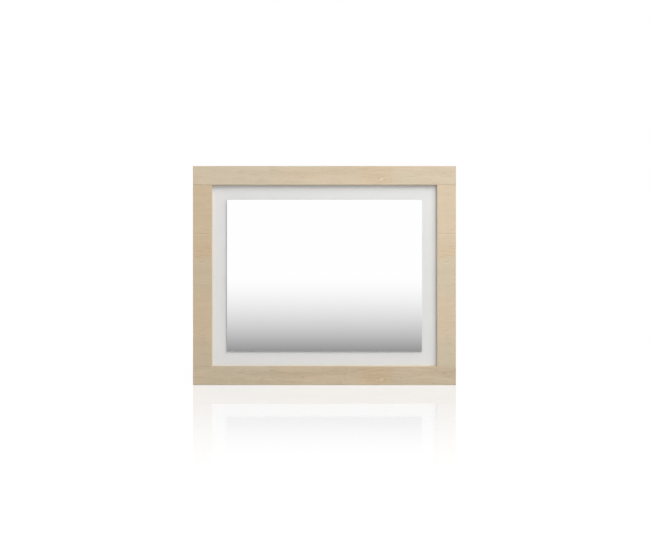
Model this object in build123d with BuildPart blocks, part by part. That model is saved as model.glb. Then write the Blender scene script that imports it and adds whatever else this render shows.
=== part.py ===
from build123d import *
from math import acos, asin, cos, degrees, radians, sin, sqrt, tan
import os

# A framed wall mirror: an oak-decor board frame, a white panel set into it from behind, and a mirror
# glass taped to the panel. Two strap hangers with loose rings carry it.
# X is the width, Z the height, and the mirror faces -Y. The origin is the middle of the wall plane that
# the bumpers rest against. Lengths are in millimetres. A depth is a distance in front of that plane.

# The frame's boards and their edge bands
overall_width = 900
overall_height = 750
member_width = 65
board_thickness = 22
band_thickness = 2
band_rounding = 1.5

# The white panel and the rebate that it lies in
panel_thickness = 10
panel_clearance = 1
rebate_width = 20
router_radius = 8

# The mirror glass, its silvering and the strips of tape behind it
white_margin = 50
glass_thickness = 4
glass_corner_radius = 1.5
glass_arris = 0.5
backing_thickness = 0.2
tape_thickness = 1
tape_width = 19
tape_count = 5
tape_side_distance = 60
tape_end_distance = 40

# Dowels, two in each corner joint
dowel_diameter = 8
dowel_length = 35
dowel_chamfer = 1
dowel_glue_gap = 0.05
dowel_end_gap = 1
dowel_edge_distance = 10

# Countersunk screws with a cross recess
screw_diameter = 3.5
screw_head_diameter = 6.8
screw_tip_length = 3
recess_span = 3.4
recess_width = 0.9
recess_depth = 1.4
screw_seat_gap = 0.1
clearance_hole_gap = 0.25
thread_gap = 0.05
screw_end_gap = 0.5
countersink_angle = 90

# Screws that hold the panel, three along its top and bottom and two along its sides
panel_screw_length = 16
panel_screw_end_distance = 134

# Strap hangers: a strip of sheet folded round the bar of a D-shaped ring
hanger_drop = 95
strap_sheet = 1
strap_seam = 0.05
strap_width = 14
strap_length = 50
strap_end_radius = 5
strap_bend_radius = 1.5
strap_hole_inset = 7
strap_hole_pitch = 17
hanger_screw_length = 12
ring_wire = 3
ring_play = 0.15
ring_half_span = 12.5
ring_bend_radius = 3
ring_leg = 4
ring_butt_gap = 0.3
ring_rest_gap = 0.3

# Rubber bumpers
bumper_diameter = 16
bumper_height = 6
bumper_taper = 8
bumper_inset = 20

# Depths of the main faces
back_depth = bumper_height
mid_depth = back_depth + board_thickness / 2
panel_front_depth = back_depth + panel_thickness
glass_back_depth = panel_front_depth + tape_thickness + backing_thickness

# Outlines that follow from the frame
opening_width = overall_width - 2 * member_width
opening_height = overall_height - 2 * member_width
rebate_outline = (opening_width + 2 * rebate_width, opening_height + 2 * rebate_width)
panel_outline = (rebate_outline[0] - 2 * panel_clearance, rebate_outline[1] - 2 * panel_clearance)
mirror_width = opening_width - 2 * white_margin
mirror_height = opening_height - 2 * white_margin
core_width = member_width - 2 * band_thickness

# The solid wood outside the rebate carries the dowels and the hangers
solid_start = opening_width / 2 + rebate_width
solid_end = overall_width / 2

frame_back = Plane.XZ.offset(back_depth)


def facing_wall(x, z, depth):
    """The plane at a place on the object and at a depth, with its normal towards the wall."""
    return Plane(origin=(x, -depth, z), x_dir=(1, 0, 0), z_dir=(0, 1, 0))


# Screws
screw_radius = screw_diameter / 2
screw_head_radius = screw_head_diameter / 2
screw_head_depth = (screw_head_radius - screw_radius) / tan(radians(countersink_angle / 2))
clearance_radius = screw_radius + clearance_hole_gap
pilot_radius = screw_radius + thread_gap
countersink_radius = screw_head_radius + screw_seat_gap


def make_screw(name, seat, length):
    """A countersunk wood screw whose head is flush with the seat plane."""
    profile_plane = Plane(origin=seat.origin, x_dir=seat.x_dir, z_dir=-seat.y_dir)
    with BuildPart() as screw:
        with BuildSketch(profile_plane):
            with BuildLine():
                Polyline(
                    (0, 0),
                    (screw_head_radius, 0),
                    (screw_radius, -screw_head_depth),
                    (screw_radius, screw_tip_length - length),
                    (0, -length),
                    close=True,
                )
            make_face()
        revolve(axis=Axis(seat.origin, seat.z_dir))
        with BuildSketch(seat):
            Rectangle(recess_span, recess_width)
            Rectangle(recess_width, recess_span)
        extrude(amount=-recess_depth, mode=Mode.SUBTRACT)
    screw.part.label = name
    export_step(screw.part, f"parts/{name}.step")


# Panel screws, in the middle of the rebate's width
screw_row_x = opening_width / 2 + rebate_width / 2
screw_row_z = opening_height / 2 + rebate_width / 2
screw_reach_x = panel_outline[0] / 2 - panel_screw_end_distance
screw_reach_z = panel_outline[1] / 2 - panel_screw_end_distance
panel_screw_places = [
    *((x, z) for z in (screw_row_z, -screw_row_z) for x in (-screw_reach_x, 0, screw_reach_x)),
    *((x, z) for x in (-screw_row_x, screw_row_x) for z in (screw_reach_z, -screw_reach_z)),
]
panel_screw_seats = [facing_wall(x, z, back_depth) for x, z in panel_screw_places]

# Hangers, in the middle of the stile's solid wood. Each ring turns about its bar.
hanger_x = (solid_start + solid_end) / 2
hanger_z = overall_height / 2 - hanger_drop
ring_radius = ring_wire / 2
eye_radius = ring_radius + ring_play + strap_sheet / 2
bar_height = eye_radius + strap_sheet / 2
bar_depth = back_depth - bar_height
strap_height = 2 * strap_sheet + strap_seam
strap_foot_z = hanger_z - strap_length
lower_hole_z = strap_foot_z + strap_hole_inset
hanger_screw_seats = [
    [facing_wall(x, z, back_depth - strap_height) for z in (lower_hole_z + strap_hole_pitch, lower_hole_z)]
    for x in (-hanger_x, hanger_x)
]

# Dowels, across each joint between a rail and a stile
dowel_places = [
    (side_x * x, side_z * opening_height / 2)
    for side_z in (1, -1)
    for side_x in (-1, 1)
    for x in (solid_start + dowel_edge_distance, solid_end - dowel_edge_distance)
]

# Everything that is cut out of the frame: the rebate, the dowel holes and the screws' pilot holes
down_from_seat = (Align.CENTER, Align.CENTER, Align.MAX)
with BuildPart() as joinery:
    with BuildSketch(frame_back):
        RectangleRounded(*rebate_outline, router_radius)
    extrude(amount=panel_thickness)
    with Locations(*(Plane(origin=(x, -mid_depth, z)) for x, z in dowel_places)):
        Cylinder(dowel_diameter / 2 + dowel_glue_gap, dowel_length + 2 * dowel_end_gap)
    with Locations(*panel_screw_seats):
        Cylinder(pilot_radius, panel_screw_length + screw_end_gap, align=down_from_seat)
    with Locations(*hanger_screw_seats[0], *hanger_screw_seats[1]):
        Cylinder(pilot_radius, hanger_screw_length + screw_end_gap, align=down_from_seat)


def make_board(name, centre, size):
    """A board of the frame, without its bands."""
    with BuildPart() as board:
        with BuildSketch(frame_back):
            with Locations(centre):
                Rectangle(*size)
        extrude(amount=board_thickness)
        add(joinery.part, mode=Mode.SUBTRACT)
    board.part.label = name
    export_step(board.part, f"parts/{name}.step")


def make_band(name, centre, size, outward, ends_show):
    """A band on one edge of a board. Its outward arrises are rounded, and its ends' too where they show."""
    with BuildPart() as band:
        with BuildSketch(frame_back):
            with Locations(centre):
                Rectangle(*size)
        extrude(amount=board_thickness)
        outward_edges = band.faces().sort_by(outward)[-1].edges()
        if ends_show:
            arrises = outward_edges + band.edges().filter_by(outward)
        else:
            arrises = outward_edges.filter_by(Axis.Y, reverse=True)
        fillet(arrises, band_rounding)
        add(joinery.part, mode=Mode.SUBTRACT)
    band.part.label = name
    export_step(band.part, f"parts/{name}.step")


# Rails run the full width. Their long bands cover the ends of the short ones.
rail_z = (overall_height - member_width) / 2
for name, side, outward in (("top_rail", 1, Axis.Z), ("bottom_rail", -1, -Axis.Z)):
    make_board(name, (0, side * rail_z), (overall_width - 2 * band_thickness, core_width))
    outer_z = side * (overall_height - band_thickness) / 2
    inner_z = side * (opening_height + band_thickness) / 2
    long_band = (overall_width, band_thickness)
    make_band(f"{name}_outer_band", (0, outer_z), long_band, outward, ends_show=True)
    make_band(f"{name}_inner_band", (0, inner_z), long_band, -outward, ends_show=True)
    end_x = (overall_width - band_thickness) / 2
    end_band = (band_thickness, core_width)
    make_band(f"{name}_left_end_band", (-end_x, side * rail_z), end_band, -Axis.X, ends_show=False)
    make_band(f"{name}_right_end_band", (end_x, side * rail_z), end_band, Axis.X, ends_show=False)

# Stiles stand between the rails, with their ends butted against the rails' inner bands
stile_x = (overall_width - member_width) / 2
for name, side, outward in (("left_stile", -1, -Axis.X), ("right_stile", 1, Axis.X)):
    make_board(name, (side * stile_x, 0), (core_width, opening_height))
    outer_x = side * (overall_width - band_thickness) / 2
    inner_x = side * (opening_width + band_thickness) / 2
    long_band = (band_thickness, opening_height)
    make_band(f"{name}_outer_band", (outer_x, 0), long_band, outward, ends_show=False)
    make_band(f"{name}_inner_band", (inner_x, 0), long_band, -outward, ends_show=False)

# Dowels
for number, (x, z) in enumerate(dowel_places, start=1):
    with BuildPart() as dowel:
        with BuildSketch(Plane(origin=(x, -mid_depth, z - dowel_length / 2))):
            Circle(dowel_diameter / 2)
        extrude(amount=dowel_length)
        chamfer(dowel.edges().filter_by(GeomType.CIRCLE), dowel_chamfer)
    dowel.part.label = f"corner_dowel_{number}"
    export_step(dowel.part, f"parts/corner_dowel_{number}.step")

# White panel, flush with the frame's back
with BuildPart() as white_panel:
    with BuildSketch(frame_back):
        RectangleRounded(*panel_outline, router_radius)
    extrude(amount=panel_thickness)
    with Locations(*panel_screw_seats):
        CounterSinkHole(clearance_radius, countersink_radius, counter_sink_angle=countersink_angle)
white_panel.part.label = "white_panel"
export_step(white_panel.part, "parts/white_panel.step")

for number, seat in enumerate(panel_screw_seats, start=1):
    make_screw(f"panel_screw_{number:02d}", seat, panel_screw_length)

# Mirror glass, with rounded corners and its arrises taken off
with BuildPart() as mirror_glass:
    with BuildSketch(Plane.XZ.offset(glass_back_depth)):
        RectangleRounded(mirror_width, mirror_height, glass_corner_radius)
    extrude(amount=glass_thickness)
    chamfer(mirror_glass.edges().filter_by(Axis.Y, reverse=True), glass_arris)
mirror_glass.part.label = "mirror_glass"
export_step(mirror_glass.part, "parts/mirror_glass.step")

# Silvering and its protective paint, on the flat of the glass's back
with BuildPart() as mirror_backing:
    with BuildSketch(Plane.XZ.offset(panel_front_depth + tape_thickness)):
        Rectangle(mirror_width - 2 * glass_corner_radius, mirror_height - 2 * glass_corner_radius)
    extrude(amount=backing_thickness)
mirror_backing.part.label = "mirror_backing"
export_step(mirror_backing.part, "parts/mirror_backing.step")

# Strips of foam tape, upright and evenly spaced
tape_reach = mirror_width / 2 - tape_side_distance
for number in range(tape_count):
    tape_x = tape_reach * (2 * number / (tape_count - 1) - 1)
    with BuildPart() as tape:
        with BuildSketch(Plane.XZ.offset(panel_front_depth)):
            with Locations((tape_x, 0)):
                Rectangle(tape_width, mirror_height - 2 * tape_end_distance)
        extrude(amount=tape_thickness)
    tape.part.label = f"mirror_tape_{number + 1}"
    export_step(tape.part, f"parts/mirror_tape_{number + 1}.step")

# The hanger strap's outline, as the middle line of its folded sheet: up against the frame, round the
# ring's bar, and back down through a reverse bend onto the first leaf
lower_leaf_y = strap_sheet / 2 - back_depth
upper_leaf_y = lower_leaf_y + strap_sheet + strap_seam
bar_y = -bar_depth
bends_apart = eye_radius + strap_bend_radius
bend_rise = upper_leaf_y + strap_bend_radius - bar_y
bend_drop = sqrt(bends_apart**2 - bend_rise**2)
bend_angle = degrees(acos(bend_rise / bends_apart))

# The ring hangs with its bow just clear of the strap
ring_reach = ring_leg + ring_half_span
rest_tilt = asin((strap_height + ring_radius + ring_rest_gap - bar_height) / ring_reach)


def make_strap(name, x, screw_seats):
    """A strip folded round the ring's bar, with countersunk holes through both leaves."""
    with BuildPart() as strap:
        with BuildSketch(Plane.YZ.offset(x)):
            with BuildLine():
                Line((lower_leaf_y, strap_foot_z), (lower_leaf_y, hanger_z))
                CenterArc((bar_y, hanger_z), eye_radius, 180, -180 - bend_angle)
                CenterArc(
                    (upper_leaf_y + strap_bend_radius, hanger_z - bend_drop),
                    strap_bend_radius,
                    180 - bend_angle,
                    bend_angle,
                )
                Line((upper_leaf_y, hanger_z - bend_drop), (upper_leaf_y, strap_foot_z))
            trace(line_width=strap_sheet)
        extrude(amount=strap_width / 2, both=True)
        fillet(strap.edges().filter_by(Axis.Y).group_by(Axis.Z)[0], strap_end_radius)
        with Locations(*screw_seats):
            CounterSinkHole(clearance_radius, countersink_radius, counter_sink_angle=countersink_angle)
    strap.part.label = name
    export_step(strap.part, f"parts/{name}.step")


def make_ring(name, x):
    """A D-shaped ring bent from wire, whose ends meet inside the strap's eye."""
    ring_plane = Plane(
        origin=(x, bar_y, hanger_z), x_dir=(1, 0, 0), z_dir=(0, cos(rest_tilt), sin(rest_tilt))
    )
    bend_x = ring_half_span - ring_bend_radius
    with BuildPart() as ring:
        with BuildLine(ring_plane) as wire_line:
            Line((ring_butt_gap / 2, 0), (bend_x, 0))
            CenterArc((bend_x, ring_bend_radius), ring_bend_radius, -90, 90)
            Line((ring_half_span, ring_bend_radius), (ring_half_span, ring_leg))
            CenterArc((0, ring_leg), ring_half_span, 0, 180)
            Line((-ring_half_span, ring_leg), (-ring_half_span, ring_bend_radius))
            CenterArc((-bend_x, ring_bend_radius), ring_bend_radius, 180, 90)
            Line((-bend_x, 0), (-ring_butt_gap / 2, 0))
        with BuildSketch(Plane(origin=wire_line.line @ 0, z_dir=wire_line.line % 0)):
            Circle(ring_radius)
        sweep()
    ring.part.label = name
    export_step(ring.part, f"parts/{name}.step")


for side_name, x, seats in zip(("left", "right"), (-hanger_x, hanger_x), hanger_screw_seats):
    make_strap(f"{side_name}_hanger_strap", x, seats)
    make_ring(f"{side_name}_hanger_ring", x)
    make_screw(f"{side_name}_hanger_upper_screw", seats[0], hanger_screw_length)
    make_screw(f"{side_name}_hanger_lower_screw", seats[1], hanger_screw_length)

# Bumpers at the corners of the back
bumper_x = overall_width / 2 - bumper_inset
bumper_z = overall_height / 2 - bumper_inset
for height_name, z in (("top", bumper_z), ("bottom", -bumper_z)):
    for side_name, x in (("left", -bumper_x), ("right", bumper_x)):
        with BuildPart() as bumper:
            with BuildSketch(facing_wall(x, z, back_depth)):
                Circle(bumper_diameter / 2)
            extrude(amount=bumper_height, taper=bumper_taper)
        bumper.part.label = f"{height_name}_{side_name}_bumper"
        export_step(bumper.part, f"parts/{height_name}_{side_name}_bumper.step")
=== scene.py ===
from math import radians

import bpy
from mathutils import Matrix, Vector


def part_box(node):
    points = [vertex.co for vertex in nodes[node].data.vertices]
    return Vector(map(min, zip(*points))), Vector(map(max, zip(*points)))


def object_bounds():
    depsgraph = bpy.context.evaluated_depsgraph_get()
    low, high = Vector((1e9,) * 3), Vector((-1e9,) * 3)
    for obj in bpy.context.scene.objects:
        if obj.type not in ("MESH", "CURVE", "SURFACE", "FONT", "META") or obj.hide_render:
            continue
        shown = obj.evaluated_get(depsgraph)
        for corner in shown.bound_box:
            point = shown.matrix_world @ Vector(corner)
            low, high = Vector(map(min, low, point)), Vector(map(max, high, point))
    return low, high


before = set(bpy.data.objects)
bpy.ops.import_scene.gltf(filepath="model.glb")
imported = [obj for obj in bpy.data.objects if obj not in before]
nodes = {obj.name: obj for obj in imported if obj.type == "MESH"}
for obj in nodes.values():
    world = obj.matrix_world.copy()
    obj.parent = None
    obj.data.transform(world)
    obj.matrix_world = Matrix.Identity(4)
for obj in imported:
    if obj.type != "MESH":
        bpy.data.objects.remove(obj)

# The looks of the framed wall mirror: its materials, a pale studio and the photograph's camera.
# Lengths are in metres in the part's own frame: X to the right, Z up, and the mirror faces -Y.

cad_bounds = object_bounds()

# Places read from the solids
rail_low, rail_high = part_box("top_rail")
front_y = rail_low.y
back_y = rail_high.y
rail_middle_z = (rail_low.z + rail_high.z) / 2
stile_low, stile_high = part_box("right_stile")
stile_middle_x = (stile_low.x + stile_high.x) / 2
floor_z = cad_bounds[0][2]
half_width = cad_bounds[1][0]

# The photograph, in pixels: its width, the frame's width in it, and how far the frame's middle stands left
# of the picture's
IMAGE_WIDTH = 650
FRAME_WIDTH = 263.1
FRAME_SHIFT = 0.53
METRES_PER_PIXEL = 2 * half_width / FRAME_WIDTH

# Its camera, which is level with the middle of the frame and sees past the floor's far edge
CAMERA_DISTANCE = 2.5
CAMERA_HEIGHT = -floor_z
SENSOR_WIDTH = 36.0
CLIP_END = 2000

# The studio: how far its floor reaches to each side, the world's light on matt surfaces, the floor's matt
# colour under the glow that the camera sees and in the light that it throws back, and how matt its gloss is
FLOOR_REACH = 250
AMBIENT = 0.22
WHITE = (1, 1, 1)
FLOOR_SEEN = (0.08, 0.08, 0.08)
FLOOR_BOUNCE = (0.5, 0.5, 0.5)
FLOOR_GLOSS_ROUGHNESS = 0.02

# The glass shows a grey below the camera's height, a painted reflection that the floor and world give only
# to
# mirrors: by how far below, in parts of GREY_DROP, to the power GREY_POWER, and never by more than GREY_MOST
GREY_DROP = 0.322
GREY_POWER = 1.6
GREY_MOST = 0.70

# Ramps over the distance from the object's foot, each with its two ends and its values there: the floor's
# shine and glow to the camera, and how much of the grey mirrors see in it
FLOOR_SHINE = (0.2, 1.35, 0.262, 0.0)
FLOOR_GLOW = (1.5, 5.0, 0.932, 0.985)
FLOOR_GREY = (0.0, 1.05, 0.25, 1.0)

# Ramps over a ray's direction: the world's brightness to mirrors, by height, and the range of its grey band,
# by height and by how far the ray goes along Y
WORLD_BRIGHTNESS = (0.45, 1.0, 1.0, 0.55)
BAND_HEIGHT = (0.12, 0.18, 0.0, 1.0)
BAND_DEPTH = (-0.9, -0.8, 1.0, 0.0)

# The oak decor: its two browns, the tints that it drifts between, and how brown it is on the whole. Then its
# growth lines: how far apart they are, how many of them a drift moves them by, and a full turn in radians
OAK_PALE = (0.755, 0.640, 0.478)
OAK_BROWN = (0.475, 0.368, 0.243)
OAK_WARM = (1.018, 0.993, 0.970)
OAK_GREY = (0.985, 1.003, 1.008)
OAK_DARKNESS = 0.29
LINE_SPACING = 0.0085
LINE_DRIFT = 7.0
FULL_TURN = 6.2832

# The boards: the decor's thickness, how finely and how far the outlines of marks wander, how far a zone's
# ends wander for their softness, and how bright the bands are beside the boards
DECOR_THICKNESS = 0.0003
WANDER_SCALE = 140.0
WANDER = (0.012, 0.0022, 0.0)
ZONE_WANDER = 2.2
BAND_BRIGHTNESS = 0.985

SHARP_ANGLE = radians(35)


# Node graphs

class Graph:
    """A node tree with short calls for the nodes that are used here."""

    def __init__(self, tree):
        self.tree = tree
        tree.nodes.clear()

    def node(self, kind, inputs=None, **settings):
        node = self.tree.nodes.new(kind)
        for key, value in settings.items():
            setattr(node, key, value)
        for key, value in (inputs or {}).items():
            self.feed(node.inputs[key], value)
        return node

    def feed(self, socket, value):
        if isinstance(value, bpy.types.NodeSocket):
            self.tree.links.new(value, socket)
        elif socket.type == "RGBA":
            socket.default_value = (*value[:3], 1)
        else:
            socket.default_value = value

    def math(self, operation, *values, clamp=False):
        inputs = dict(enumerate(values))
        return self.node("ShaderNodeMath", inputs, operation=operation, use_clamp=clamp).outputs[0]

    def total(self, first, *others):
        for other in others:
            first = self.math("ADD", first, other)
        return first

    def vector_math(self, operation, *values, output=0):
        inputs = dict(enumerate(values))
        return self.node("ShaderNodeVectorMath", inputs, operation=operation).outputs[output]

    def split(self, vector):
        return self.node("ShaderNodeSeparateXYZ", {0: vector}).outputs[:]

    def combine(self, x, y, z):
        return self.node("ShaderNodeCombineXYZ", {0: x, 1: y, 2: z}).outputs[0]

    def length(self, vector):
        return self.vector_math("LENGTH", vector, output=1)

    def scaled(self, vector, size):
        """The vector in units of size, which is one length for all axes or one for each."""
        sizes = size if isinstance(size, tuple) else (size, size, size)
        return self.vector_math("DIVIDE", vector, sizes)

    def ramp(self, value, low, high, start=0.0, end=1.0):
        """The value's way from low to high, as a number from start to end."""
        inputs = {"Value": value, "From Min": low, "From Max": high, "To Min": start, "To Max": end}
        node = self.node("ShaderNodeMapRange", inputs, interpolation_type="SMOOTHSTEP", clamp=True)
        return node.outputs[0]

    def mix(self, factor, first, second, blend="MIX"):
        inputs = {0: factor, 6: first, 7: second}
        return self.node("ShaderNodeMix", inputs, data_type="RGBA", blend_type=blend).outputs[2]

    def noise(self, vector, size, detail=2.0, roughness=0.5):
        """Noise from 0 to 1 whose features are about as large as size."""
        inputs = {"Vector": self.scaled(vector, size), "Scale": 1.0}
        inputs.update({"Detail": detail, "Roughness": roughness})
        return self.node("ShaderNodeTexNoise", inputs).outputs[0]

    def cells(self, vector, size, output="Color"):
        inputs = {"Vector": self.scaled(vector, size), "Scale": 1.0}
        return self.node("ShaderNodeTexVoronoi", inputs).outputs[output]

    def swing(self, value, amount):
        """A noise value as a swing of that amount about nothing."""
        return self.math("MULTIPLY", self.math("SUBTRACT", value, 0.5), amount)

    def bump(self, height, distance):
        return self.node("ShaderNodeBump", {"Height": height, "Distance": distance}).outputs[0]

    def place(self):
        return self.node("ShaderNodeTexCoord").outputs["Object"]

    def facing(self):
        """1 on a face that looks along Y, and 0 on one that looks sideways, up or down."""
        normal = self.split(self.node("ShaderNodeTexCoord").outputs["Normal"])
        return self.math("ABSOLUTE", normal[1])

    def rays(self):
        """1 for a ray from the camera, and 1 for a mirror-like ray, off metal or through glass."""
        path = self.node("ShaderNodeLightPath").outputs
        mirror_like = self.math("MAXIMUM", path["Is Glossy Ray"], path["Is Transmission Ray"])
        return path["Is Camera Ray"], mirror_like

    def painted_reflection_grey(self, drop):
        """How grey the painted reflection in the glass is that far below the camera's height."""
        share = self.math("DIVIDE", self.math("MAXIMUM", drop, 0.0), GREY_DROP)
        return self.math("MINIMUM", self.math("POWER", share, GREY_POWER), GREY_MOST)

    def emission(self, strength):
        return self.node("ShaderNodeEmission", {"Color": WHITE, "Strength": strength}).outputs[0]

    def diffuse(self, colour):
        return self.node("ShaderNodeBsdfDiffuse", {"Color": colour}).outputs[0]

    def mix_shader(self, factor, first, second):
        return self.node("ShaderNodeMixShader", {0: factor, 1: first, 2: second}).outputs[0]


def new_material(name):
    material = bpy.data.materials.new(name)
    material.use_nodes = True
    return material, Graph(material.node_tree)


def finish_surface(graph, inputs):
    surface = graph.node("ShaderNodeBsdfPrincipled", inputs)
    graph.node("ShaderNodeOutputMaterial", {"Surface": surface.outputs[0]})


# The oak decor and the boards

def mark(graph, place, centre, half_size):
    """A soft oval mark on the decor, 1 in its middle and 0 outside."""
    offset = graph.vector_math("DIVIDE", graph.vector_math("SUBTRACT", place, centre), half_size)
    return graph.ramp(graph.length(offset), 0.2, 1.0, 1.0, 0.0)


def oak_grain(graph, place, contrast=1.0):
    """The decor's darkness, from 0, pale, to 1, brown, its fibres, and its height for a bump.

    Streaks, growth lines and pores run along the first axis of the place.
    """
    broad = graph.noise(place, (0.24, 0.030, 0.030))
    streak = graph.noise(place, (0.050, 0.0030, 0.0030), detail=3, roughness=0.55)
    fibre = graph.noise(place, (0.014, 0.0006, 0.0006))
    pore = graph.ramp(graph.noise(place, (0.0075, 0.00035, 0.00035), detail=1), 0.66, 0.74)
    dash = graph.ramp(graph.noise(place, (0.016, 0.0026, 0.0026), detail=1), 0.60, 0.72)
    drift = graph.noise(place, (0.20, 0.040, 0.040), detail=1)
    across = graph.math("DIVIDE", graph.split(place)[1], LINE_SPACING)
    phase = graph.total(across, graph.math("MULTIPLY", drift, LINE_DRIFT))
    line = graph.ramp(graph.math("SINE", graph.math("MULTIPLY", phase, FULL_TURN)), 0.55, 1.0)
    line = graph.math("MULTIPLY", line, graph.ramp(broad, 0.42, 0.62))
    darkness = graph.total(
        OAK_DARKNESS,
        graph.swing(broad, 0.50 * contrast),
        graph.swing(streak, 0.54 * contrast),
        graph.swing(fibre, 0.30),
        graph.math("MULTIPLY", pore, 0.30),
        graph.math("MULTIPLY", line, 0.16 * contrast),
        graph.math("MULTIPLY", dash, 0.24 * contrast),
    )
    height = graph.math("SUBTRACT", graph.math("MULTIPLY", fibre, 0.4), pore)
    return darkness, fibre, height


def oak_colour(graph, darkness, tone, tint=None):
    colour = graph.mix(darkness, OAK_PALE, OAK_BROWN)
    if tint is not None:
        colour = graph.mix(1.0, colour, tint, "MULTIPLY")
    return graph.mix(1.0, colour, tone, "MULTIPLY")


def chipboard(graph, place):
    """Pressed chips of many browns, as on the boards' cut faces."""
    chip = graph.split(graph.cells(place, (0.0028, 0.0012, 0.0016)))[0]
    dust = graph.noise(place, 0.0009)
    return graph.mix(
        graph.math("ADD", graph.math("MULTIPLY", chip, 0.7), graph.swing(dust, 0.6), clamp=True),
        (0.36, 0.24, 0.13),
        (0.66, 0.50, 0.32),
    )


def cut_mask(graph, place):
    """1 on a board's cut faces and on the floor of its rebate, and 0 on its two coated faces."""
    sideways = graph.ramp(graph.facing(), 0.4, 0.6, 1.0, 0.0)
    middle = (front_y + back_y) / 2
    reach = (back_y - front_y) / 2
    from_middle = graph.math("ABSOLUTE", graph.math("SUBTRACT", graph.split(place)[1], middle))
    inside = graph.ramp(from_middle, reach - 2 * DECOR_THICKNESS, reach - DECOR_THICKNESS, 1.0, 0.0)
    return graph.math("MAXIMUM", sideways, inside)


def board_material(name, lengthwise, middle, tone, contrast, marks, zones):
    """A board whose decor runs along X, with its own marks, with zones along its length, and with a tone
    that also paints light.
    """
    material, graph = new_material(name)
    place = graph.place()
    x, y, z = graph.split(graph.vector_math("SUBTRACT", place, middle))
    decor = graph.combine(x, z, y)
    darkness, fibre, height = oak_grain(graph, decor, contrast)

    inputs = {"Vector": decor, "Scale": WANDER_SCALE, "Detail": 1.0}
    wander = graph.node("ShaderNodeTexNoise", inputs).outputs["Color"]
    shift = graph.vector_math("MULTIPLY", graph.vector_math("SUBTRACT", wander, (0.5, 0.5, 0.5)), WANDER)
    loose = graph.vector_math("MULTIPLY", graph.vector_math("ADD", decor, shift), (1, 1, 0))
    for spot, half_size, amount in marks:
        spotted = mark(graph, loose, (*spot, 0), (*half_size, 1))
        darkness = graph.math("MULTIPLY_ADD", spotted, amount, darkness)

    hue = graph.noise(decor, (0.11, 0.05, 0.05), detail=1)
    tint = graph.mix(graph.ramp(hue, 0.3, 0.7), OAK_GREY, OAK_WARM)
    for low, high, soft, zone_tint in zones:
        edge = graph.swing(graph.noise(decor, (0.030, 0.012, 0.012)), ZONE_WANDER * soft)
        along = graph.math("ADD", x if lengthwise == "X" else z, edge)
        rise = graph.ramp(along, low - soft, low + soft)
        fall = graph.ramp(along, high - soft, high + soft, 1.0, 0.0)
        tint = graph.mix(graph.math("MULTIPLY", rise, fall), tint, zone_tint)

    cut = cut_mask(graph, place)
    finish_surface(graph, {
        "Base Color": graph.mix(cut, oak_colour(graph, darkness, tone, tint), chipboard(graph, place)),
        "Roughness": graph.total(0.50, graph.swing(fibre, 0.12), graph.math("MULTIPLY", cut, 0.3)),
        "Specular IOR Level": 0.4,
        "Normal": graph.bump(height, 0.00004),
    })
    return material


def band_material(name, lengthwise, tone):
    """The boards' edge band: the same decor on plastic, with its grain along the band."""
    material, graph = new_material(name)
    x, y, z = graph.split(graph.place())
    along, across = (x, z) if lengthwise == "X" else (z, x)
    darkness, fibre, height = oak_grain(graph, graph.combine(along, y, across))
    finish_surface(graph, {
        "Base Color": oak_colour(graph, darkness, tone),
        "Roughness": graph.total(0.42, graph.swing(fibre, 0.10)),
        "Specular IOR Level": 0.4,
        "Normal": graph.bump(height, 0.00003),
    })
    return material


# The other materials

def panel_material():
    """White coated board with a faint orange peel. Its cut edges are bare chips."""
    material, graph = new_material("white_melamine")
    place = graph.place()
    peel = graph.noise(place, 0.0016)
    cloud = graph.noise(place, 0.12)
    white = graph.mix(cloud, (0.805, 0.802, 0.794), (0.820, 0.818, 0.812))
    cut = graph.ramp(graph.facing(), 0.4, 0.5, 1.0, 0.0)
    finish_surface(graph, {
        "Base Color": graph.mix(cut, white, chipboard(graph, place)),
        "Roughness": graph.total(0.42, graph.swing(peel, 0.10), graph.math("MULTIPLY", cut, 0.4)),
        "Specular IOR Level": 0.35,
        "Normal": graph.bump(peel, 0.00002),
    })
    return material


def mirror_material():
    """A silvered front, with ground arrises and edges that show the glass's green."""
    material, graph = new_material("silvered_glass")
    place = graph.place()
    facing = graph.facing()
    silvered = graph.ramp(facing, 0.90, 0.95)
    bare = graph.math("SUBTRACT", 1.0, silvered)
    edge = graph.ramp(facing, 0.3, 0.4, 1.0, 0.0)
    grind = graph.noise(place, 0.0012)
    green = graph.mix(grind, (0.20, 0.31, 0.27), (0.30, 0.42, 0.37))
    ground = graph.mix(grind, (0.62, 0.70, 0.67), (0.76, 0.82, 0.79))
    silver = graph.mix(graph.noise(place, 0.2), (0.985, 0.99, 0.987), (0.992, 0.996, 0.993))
    matt = graph.total(0.22, graph.swing(grind, 0.2))
    finish_surface(graph, {
        "Base Color": graph.mix(silvered, graph.mix(edge, ground, green), silver),
        "Metallic": silvered,
        "Roughness": graph.math("MULTIPLY", bare, matt),
        "Normal": graph.bump(graph.math("MULTIPLY", grind, bare), 0.00002),
    })
    return material


def paint_material():
    """The grey protective paint on the back of the silvering."""
    material, graph = new_material("mirror_back_paint")
    speck = graph.noise(graph.place(), 0.002, detail=3)
    finish_surface(graph, {
        "Base Color": graph.mix(speck, (0.16, 0.19, 0.20), (0.22, 0.25, 0.26)),
        "Roughness": graph.total(0.55, graph.swing(speck, 0.15)),
        "Normal": graph.bump(speck, 0.00002),
    })
    return material


def foam_material():
    """White foam tape with fine open cells."""
    material, graph = new_material("foam_tape")
    cell = graph.cells(graph.place(), 0.0005, "Distance")
    finish_surface(graph, {
        "Base Color": graph.mix(cell, (0.58, 0.58, 0.56), (0.80, 0.80, 0.78)),
        "Roughness": graph.total(0.85, graph.swing(cell, 0.1)),
        "Normal": graph.bump(cell, 0.0001),
    })
    return material


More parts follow.
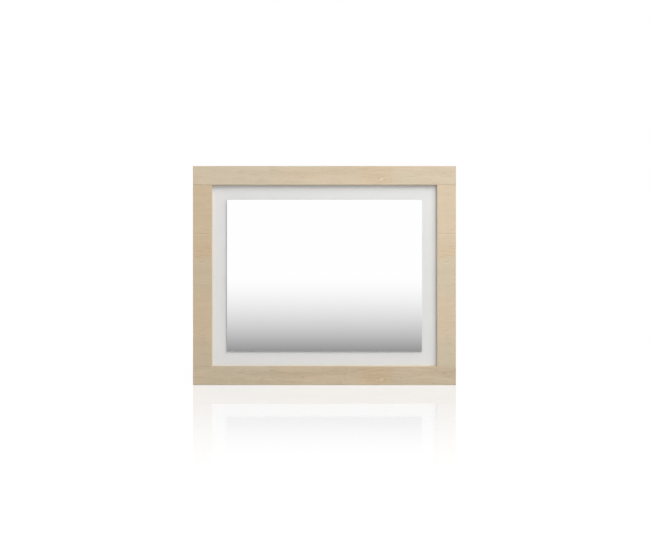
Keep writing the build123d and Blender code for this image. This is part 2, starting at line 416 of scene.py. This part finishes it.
def beech_material():
    """Beech with short dark flecks along the dowel."""
    material, graph = new_material("beech")
    x, y, z = graph.split(graph.place())
    grain = graph.combine(z, x, y)
    fleck = graph.ramp(graph.noise(grain, (0.004, 0.0004, 0.0004), detail=1), 0.60, 0.70)
    tone = graph.noise(grain, (0.03, 0.002, 0.002), detail=3)
    pale = graph.mix(tone, (0.60, 0.41, 0.24), (0.72, 0.53, 0.34))
    finish_surface(graph, {
        "Base Color": graph.mix(graph.math("MULTIPLY", fleck, 0.6), pale, (0.36, 0.21, 0.11)),
        "Roughness": graph.total(0.6, graph.swing(tone, 0.1)),
        "Normal": graph.bump(fleck, -0.00003),
    })
    return material


def steel_material(name, dark, pale, roughness, blotch, scratch_size):
    """Plated steel: blotches in the plating and fine handling scratches."""
    material, graph = new_material(name)
    place = graph.place()
    crystal = graph.split(graph.cells(place, blotch))[0]
    cloud = graph.noise(place, blotch * 3)
    scratch = graph.noise(place, scratch_size)
    tone = graph.math("ADD", graph.math("MULTIPLY", crystal, 0.4), graph.math("MULTIPLY", cloud, 0.6))
    finish_surface(graph, {
        "Base Color": graph.mix(tone, dark, pale),
        "Metallic": 1.0,
        "Roughness": graph.total(roughness, graph.swing(tone, 0.16), graph.swing(scratch, 0.14)),
        "Normal": graph.bump(scratch, 0.00001),
    })
    return material


def rubber_material():
    """Clear soft plastic, a little cloudy inside."""
    material, graph = new_material("clear_rubber")
    cloud = graph.noise(graph.place(), 0.003)
    finish_surface(graph, {
        "Base Color": graph.mix(cloud, (0.86, 0.88, 0.87), (0.93, 0.94, 0.93)),
        "Roughness": graph.total(0.20, graph.swing(cloud, 0.12)),
        "IOR": 1.49,
        "Transmission Weight": 0.30,
        "Normal": graph.bump(cloud, 0.00003),
    })
    return material


def wear(names, material):
    for name in names:
        slots = nodes[name].data.materials
        slots.clear()
        slots.append(material)


# Both rails are cut from the same print, and so are both stiles.
# A mark is its place from the board's middle, half its size, and how much darker the decor is there.
# A zone is where it starts and ends along the board, how soft its ends are, and its tint.
rail_marks = [
    ((0.1850, -0.0095), (0.0085, 0.0034), 0.36),
    ((0.2060, -0.0140), (0.0085, 0.0034), 0.36),
    ((0.1950, -0.0125), (0.0065, 0.0110), -0.22),
    ((0.1960, -0.0030), (0.0150, 0.0026), 0.26),
    ((0.1900, -0.0225), (0.0130, 0.0026), 0.26),
    ((-0.287, 0.0105), (0.026, 0.0022), 0.32),
    ((-0.247, 0.0040), (0.032, 0.0022), 0.28),
    ((-0.172, 0.0185), (0.022, 0.0026), 0.34),
    ((-0.292, -0.0090), (0.034, 0.0022), 0.28),
    ((-0.215, -0.0170), (0.030, 0.0022), 0.28),
    ((0.138, 0.0190), (0.020, 0.0022), 0.24),
    ((0.318, 0.0040), (0.026, 0.0024), 0.28),
    ((0.298, -0.0040), (0.030, 0.0022), 0.24),
]
rail_zones = [
    (0.020, 0.140, 0.022, (0.992, 0.972, 0.945)),
    (0.130, 0.234, 0.008, (1.006, 0.955, 0.895)),
    (-0.391, -0.185, 0.020, (0.985, 1.0, 1.010)),
]
stile_marks = [
    ((0.0, 0.1440), (0.060, 0.0022), 0.36),
    ((0.0, 0.1400), (0.060, 0.0026), -0.20),
    ((0.018, 0.1560), (0.016, 0.0024), 0.22),
    ((0.016, 0.0990), (0.016, 0.0022), 0.24),
    ((0.022, 0.0920), (0.014, 0.0020), 0.30),
    ((-0.010, 0.0840), (0.026, 0.0034), 0.22),
    ((0.018, 0.0800), (0.018, 0.0024), 0.34),
    ((0.004, 0.0700), (0.030, 0.0030), 0.24),
    ((-0.018, 0.0640), (0.012, 0.0022), 0.26),
    ((0.0, 0.0470), (0.018, 0.0018), 0.46),
    ((0.0, 0.0425), (0.018, 0.0020), -0.26),
    ((-0.014, -0.0700), (0.012, 0.0022), -0.26),
    ((-0.004, -0.1870), (0.016, 0.0018), 0.44),
    ((0.002, -0.2050), (0.014, 0.0016), 0.26),
    ((0.002, -0.2140), (0.016, 0.0018), 0.36),
    ((0.010, -0.2690), (0.012, 0.0018), 0.34),
]
stile_zones = [
    (0.095, 0.340, 0.030, (1.030, 1.000, 0.975)),
    (0.062, 0.104, 0.012, (1.030, 0.970, 0.915)),
    (-0.065, 0.050, 0.022, (0.985, 1.0, 0.995)),
    (-0.210, -0.065, 0.022, (1.015, 0.992, 0.980)),
    (-0.340, -0.225, 0.030, (0.950, 0.962, 0.968)),
]

# Each board's middle, its tone and the contrast of its decor. The tone scales the decor's colour and also
# paints
# light falling from the upper right: the top rail and right stile are painted lighter, the bottom rail and
# left stile darker.
boards = {
    "top_rail": ((0, 0, rail_middle_z), (1.015, 1.02, 1.03), 0.80),
    "bottom_rail": ((0, 0, -rail_middle_z), (0.92, 0.905, 0.885), 1.25),
    "left_stile": ((-stile_middle_x, 0, 0), (0.965, 0.935, 0.885), 0.50),
    "right_stile": ((stile_middle_x, 0, 0), (1.025, 1.03, 1.025), 0.42),
}
for board, (middle, tone, contrast) in boards.items():
    is_rail = board.endswith("rail")
    lengthwise = "X" if is_rail else "Z"
    marks, zones = (rail_marks, rail_zones) if is_rail else (stile_marks, stile_zones)
    decor = board_material(board + "_decor", lengthwise, middle, tone, contrast, marks, zones)
    wear([board], decor)
    # The bands take their board's tone, painted light and all, a shade darker.
    band_tone_and_painted_light = [value * BAND_BRIGHTNESS for value in tone]
    long_bands = [board + "_outer_band", board + "_inner_band"]
    wear(long_bands, band_material(board + "_band", lengthwise, band_tone_and_painted_light))
    if is_rail:
        end_bands = [board + "_left_end_band", board + "_right_end_band"]
        wear(end_bands, band_material(board + "_end_band", "Z", band_tone_and_painted_light))

zinc = steel_material(
    "zinc_strap", (0.50, 0.52, 0.54), (0.66, 0.68, 0.70),
    roughness=0.32, blotch=0.004, scratch_size=(0.0003, 0.0003, 0.006),
)
nickel = steel_material(
    "nickel_wire", (0.66, 0.64, 0.60), (0.76, 0.74, 0.70),
    roughness=0.20, blotch=0.006, scratch_size=(0.004, 0.0004, 0.0004),
)
screw_zinc = steel_material(
    "screw_zinc", (0.60, 0.55, 0.38), (0.74, 0.70, 0.52),
    roughness=0.28, blotch=0.002, scratch_size=0.0006,
)
# The other pieces, by a word in their names
worn = {
    "white_panel": panel_material(),
    "mirror_glass": mirror_material(),
    "mirror_backing": paint_material(),
    "mirror_tape": foam_material(),
    "corner_dowel": beech_material(),
    "bumper": rubber_material(),
    "strap": zinc,
    "ring": nickel,
    "screw": screw_zinc,
}
for word, material in worn.items():
    wear([name for name in nodes if word in name], material)

# Turned, bent and rounded surfaces are shaded smooth, with their real edges kept sharp.
for name, node in nodes.items():
    if any(word in name for word in ("ring", "strap", "screw", "bumper", "dowel", "band", "glass")):
        node.data.shade_smooth()
        node.data.set_sharp_from_angle(angle=SHARP_ANGLE)

# The camera looks straight at the front.
camera_data = bpy.data.cameras.new("camera")
camera_data.sensor_fit = "HORIZONTAL"
camera_data.sensor_width = SENSOR_WIDTH
camera_data.lens = SENSOR_WIDTH * CAMERA_DISTANCE / (IMAGE_WIDTH * METRES_PER_PIXEL)
camera_data.clip_end = CLIP_END
camera = bpy.data.objects.new("camera", camera_data)
camera.location = (FRAME_SHIFT * METRES_PER_PIXEL, front_y - CAMERA_DISTANCE, 0)
camera.rotation_euler = (radians(90), 0, 0)
bpy.context.scene.collection.objects.link(camera)
bpy.context.scene.camera = camera


# The studio

def area_light(name, place, size, power):
    """A rectangular lamp that shines at the object."""
    light = bpy.data.lights.new(name, "AREA")
    light.shape = "RECTANGLE"
    light.size, light.size_y = size
    light.energy = power
    lamp = bpy.data.objects.new(name, light)
    lamp.location = place
    lamp.rotation_euler = (-Vector(place)).to_track_quat("-Z", "Y").to_euler()
    bpy.context.scene.collection.objects.link(lamp)
    return lamp


# The key, a lamp for the back, and a fill that mirrors don't see
area_light("key", (1.9, -2.6, 3.4), (3.8, 3.8), 215)
area_light("back", (-1.8, 2.6, 1.6), (2.0, 2.0), 85)
fill = area_light("fill", (0.3, -6.0, 0.8), (3.0, 2.4), 34)
fill.visible_glossy = False

# The world is white to the camera. Mirrors see it dimmer overhead, and with a grey band towards -Y, a
# painted reflection
# for the glass: a ray goes up there when it comes off the glass that the floor reflects, and the drop is how
# far below the camera's height it left the glass.
world = bpy.data.worlds.new("studio")
bpy.context.scene.world = world
world.use_nodes = True
graph = Graph(world.node_tree)
from_camera, mirror_like = graph.rays()
_, depth, height = graph.split(graph.node("ShaderNodeTexCoord").outputs["Generated"])
drop = graph.math("SUBTRACT", 2 * CAMERA_HEIGHT, graph.math("MULTIPLY", height, CAMERA_DISTANCE))
band = graph.math("MULTIPLY", graph.painted_reflection_grey(drop), graph.ramp(height, *BAND_HEIGHT))
band = graph.math("MULTIPLY", band, graph.ramp(depth, *BAND_DEPTH))
mirrored = graph.math("SUBTRACT", graph.ramp(height, *WORLD_BRIGHTNESS), band)
lit = graph.math("MULTIPLY_ADD", mirror_like, graph.math("SUBTRACT", mirrored, AMBIENT), AMBIENT)
strength = graph.math("MAXIMUM", lit, from_camera)
background = graph.node("ShaderNodeBackground", {"Color": WHITE, "Strength": strength})
graph.node("ShaderNodeOutputWorld", {"Surface": background.outputs[0]})

floor_mesh = bpy.data.meshes.new("floor")
floor_mesh.from_pydata(
    [(x * FLOOR_REACH, y * FLOOR_REACH, floor_z) for x, y in ((-1, -1), (1, -1), (1, 1), (-1, 1))],
    [], [(0, 1, 2, 3)],
)
floor = bpy.data.objects.new("floor", floor_mesh)
bpy.context.scene.collection.objects.link(floor)

# The floor is white to the camera, with the object's shadow, and with a soft reflection that fades with the
# distance from the object's foot. Mirrors see it glow pale right at the foot, grey before it and white far
# off, a
# painted reflection for the glass: the drop is how far below the camera's height a ray left the glass that
# comes down at that distance.
material, graph = new_material("floor_white")
material.cycles.emission_sampling = "NONE"
from_camera, mirror_like = graph.rays()
x, y, _ = graph.split(graph.place())
beside = graph.math("MAXIMUM", graph.math("SUBTRACT", graph.math("ABSOLUTE", x), half_width), 0.0)
distance = graph.length(graph.combine(beside, y, 0.0))
lit_white = graph.node("ShaderNodeAddShader", {
    0: graph.emission(graph.ramp(distance, *FLOOR_GLOW)),
    1: graph.diffuse(FLOOR_SEEN),
}).outputs[0]
gloss = graph.node("ShaderNodeBsdfAnisotropic", {"Color": WHITE, "Roughness": FLOOR_GLOSS_ROUGHNESS})
seen = graph.mix_shader(graph.ramp(distance, *FLOOR_SHINE), lit_white, gloss.outputs[0])
drop = graph.math("DIVIDE", CAMERA_HEIGHT * CAMERA_DISTANCE, graph.math("ADD", distance, CAMERA_DISTANCE))
grey = graph.math("MULTIPLY", graph.painted_reflection_grey(drop), graph.ramp(distance, *FLOOR_GREY))
mirrored = graph.emission(graph.math("SUBTRACT", 1.0, grey))
unseen = graph.mix_shader(mirror_like, graph.diffuse(FLOOR_BOUNCE), mirrored)
surface = graph.mix_shader(from_camera, unseen, seen)
graph.node("ShaderNodeOutputMaterial", {"Surface": surface})
floor_mesh.materials.append(material)

bpy.context.scene.view_settings.view_transform = "Standard"
